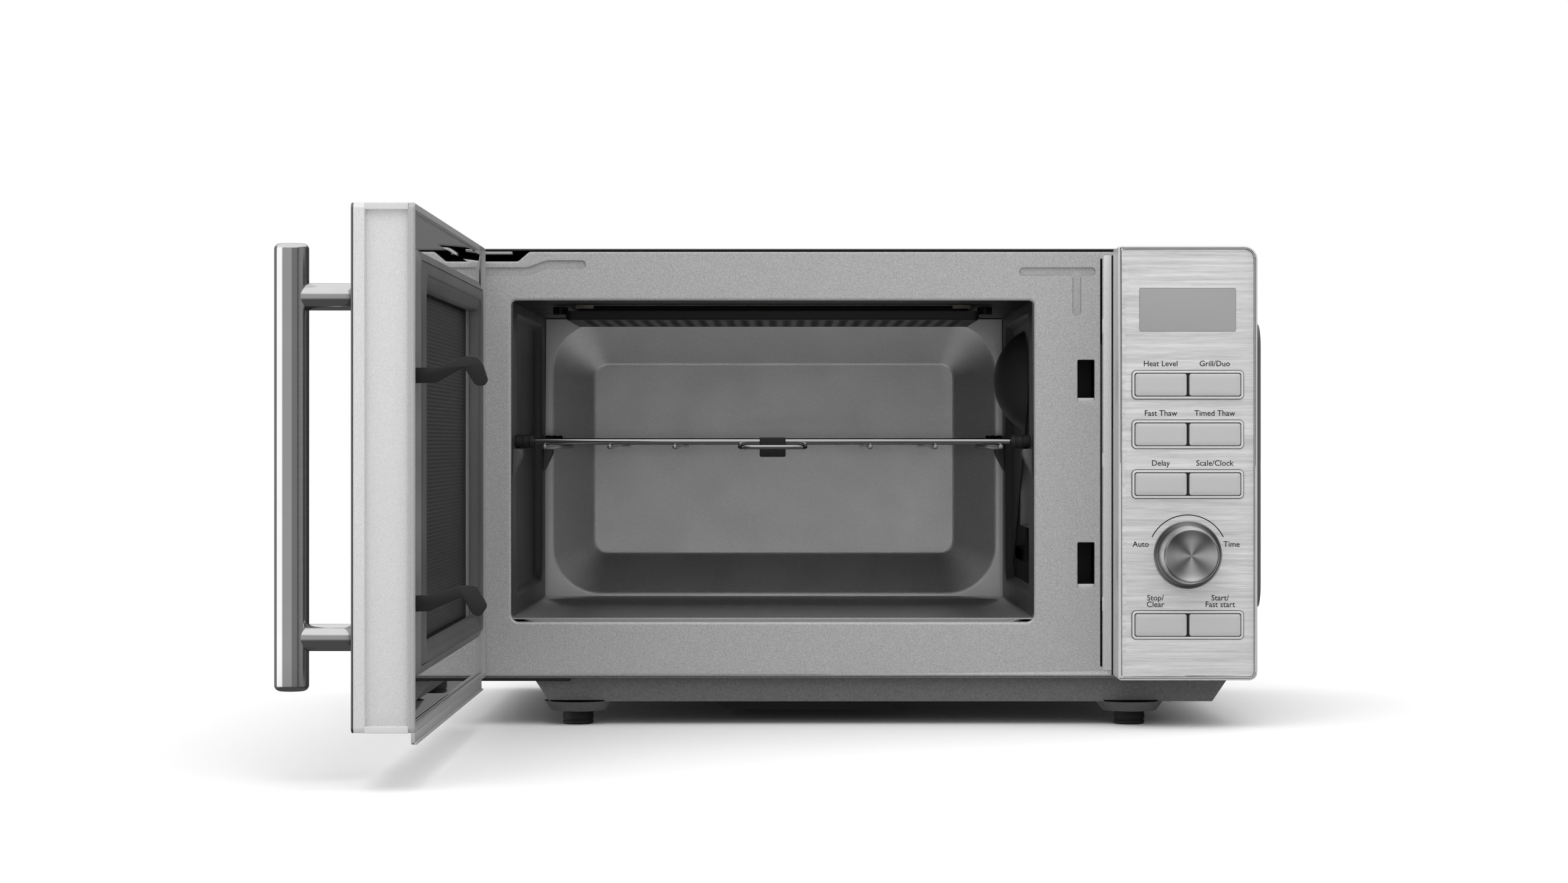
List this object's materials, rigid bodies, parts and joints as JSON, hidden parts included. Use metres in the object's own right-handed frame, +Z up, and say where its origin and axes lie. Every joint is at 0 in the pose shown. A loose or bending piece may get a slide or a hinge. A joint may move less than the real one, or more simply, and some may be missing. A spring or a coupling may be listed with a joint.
{
  "type": "microwave oven",
  "caption": "Countertop microwave oven with a side-hinged door standing open, a wire rack in its cavity and a control panel with push buttons, a display and a rotary knob.",
  "frame": {"origin": "on the ground at the middle of the case's footprint", "axes": "+X to the right, +Y from the control panel to the back, +Z up"},
  "size_m": [0.553, 0.7454, 0.292],
  "materials": {
    "case_paint": "satin grey paint",
    "frame_paint": "fine metallic grey paint",
    "plated_steel": "zinc-plated",
    "cavity_coat": "satin dark coating",
    "cavity_steel": "satin metallic coating",
    "black_plastic": "moulded, fine texture",
    "black_steel": "black coating",
    "quartz": "frosted tube",
    "mica": "satin",
    "fascia_steel": "horizontal brushing",
    "silver_paint": "fine silver metallic paint",
    "display_lens": "satin grey lens",
    "button_silver": "silver paint",
    "bright_chrome": "polished",
    "turned_metal": "spun face",
    "soft_rubber": "matt",
    "smoked_glass": "polished",
    "mirror_steel": "bright",
    "choke_plastic": "satin",
    "circuit_board": "solder resist",
    "ivory_plastic": "satin"
  },
  "bodies": {
    "case": {"outer_case": "case_paint", "base_pan": "case_paint", "front_frame": "frame_paint", "rear_plate": "plated_steel", "waveguide": "plated_steel", "magnetron": "plated_steel", "transformer": "plated_steel", "fan_motor": "plated_steel", "stirrer_motor": "plated_steel", "capacitor": "plated_steel", "case_screws": "plated_steel", "cavity_walls": "cavity_coat", "cavity_floor": "cavity_coat", "cavity_back": "cavity_steel", "base_cover": "black_plastic", "fan_duct": "black_plastic", "interlock_bracket": "black_plastic", "interlock_switches": "black_plastic", "button_surrounds": "black_plastic", "cord_gland": "black_plastic", "diode": "black_plastic", "thermal_cutouts": "black_plastic", "grill_guard": "black_steel", "lower_hinge": "black_steel", "grill_heater": "quartz", "stirrer_cover": "mica", "panel_fascia": "fascia_steel", "panel_housing": "silver_paint", "display_window": "display_lens", "upper_hinge": "bright_chrome", "knob_ring": "turned_metal", "feet": "soft_rubber", "control_board": "circuit_board", "filter_board": "circuit_board", "cavity_lamp": "ivory_plastic", "encoder": "ivory_plastic"},
    "door": {"door_frame": "silver_paint", "door_fascia": "fascia_steel", "door_glass": "smoked_glass", "door_inner_panel": "mirror_steel", "door_screen": "black_steel", "choke_cover": "choke_plastic", "handle_bar": "bright_chrome", "handle_posts": "bright_chrome", "handle_screws": "plated_steel", "latch_spring": "plated_steel"},
    "latch": {"latch_pawl": "black_plastic"},
    "rack": {"wire_rack": "bright_chrome", "rack_caps": "soft_rubber"},
    "knob": {"knob": "turned_metal"},
    "fan": {"fan_blade": "ivory_plastic"},
    "stirrer": {"stirrer": "plated_steel"},
    "button_1": {"button_1": "button_silver"},
    "button_2": {"button_2": "button_silver"},
    "button_3": {"button_3": "button_silver"},
    "button_4": {"button_4": "button_silver"},
    "button_5": {"button_5": "button_silver"},
    "button_6": {"button_6": "button_silver"},
    "button_7": {"button_7": "button_silver"},
    "button_8": {"button_8": "button_silver"}
  },
  "joints": [
    {"name": "door_hinge", "type": "hinge", "parent": "case", "child": "door", "pos_m": [-0.2367, -0.16, 0.03], "axis": [0, 0, -1], "range_deg": [-90, 15]},
    {"name": "latch_lift", "type": "slide", "parent": "door", "child": "latch", "axis": [0, 0, 1], "range_m": [0, 0.004], "stiffness_N_per_m": 150, "springref_m": -0.005, "deforming": ["latch_spring"]},
    {"name": "rack_slide", "type": "slide", "parent": "case", "child": "rack", "axis": [0, -1, 0], "range_m": [0, 0.25]},
    {"name": "knob_turn", "type": "hinge", "parent": "case", "child": "knob", "pos_m": [0.2005, -0.18, 0.1057], "axis": [0, -1, 0], "continuous": true},
    {"name": "fan_spin", "type": "hinge", "parent": "case", "child": "fan", "pos_m": [0.17875, 0.09, 0.15], "axis": [0, 1, 0], "continuous": true},
    {"name": "stirrer_spin", "type": "hinge", "parent": "case", "child": "stirrer", "pos_m": [0.12, 0.01, 0.214], "axis": [-1, 0, 0], "continuous": true},
    {"name": "button_1_press", "type": "slide", "parent": "case", "child": "button_1", "axis": [0, 1, 0], "range_m": [0, 0.0015], "stiffness_N_per_m": 400, "springref_m": -0.001},
    {"name": "button_2_press", "type": "slide", "parent": "case", "child": "button_2", "axis": [0, 1, 0], "range_m": [0, 0.0015], "stiffness_N_per_m": 400, "springref_m": -0.001},
    {"name": "button_3_press", "type": "slide", "parent": "case", "child": "button_3", "axis": [0, 1, 0], "range_m": [0, 0.0015], "stiffness_N_per_m": 400, "springref_m": -0.001},
    {"name": "button_4_press", "type": "slide", "parent": "case", "child": "button_4", "axis": [0, 1, 0], "range_m": [0, 0.0015], "stiffness_N_per_m": 400, "springref_m": -0.001},
    {"name": "button_5_press", "type": "slide", "parent": "case", "child": "button_5", "axis": [0, 1, 0], "range_m": [0, 0.0015], "stiffness_N_per_m": 400, "springref_m": -0.001},
    {"name": "button_6_press", "type": "slide", "parent": "case", "child": "button_6", "axis": [0, 1, 0], "range_m": [0, 0.0015], "stiffness_N_per_m": 400, "springref_m": -0.001},
    {"name": "button_7_press", "type": "slide", "parent": "case", "child": "button_7", "axis": [0, 1, 0], "range_m": [0, 0.0015], "stiffness_N_per_m": 400, "springref_m": -0.001},
    {"name": "button_8_press", "type": "slide", "parent": "case", "child": "button_8", "axis": [0, 1, 0], "range_m": [0, 0.0015], "stiffness_N_per_m": 400, "springref_m": -0.001}
  ]
}
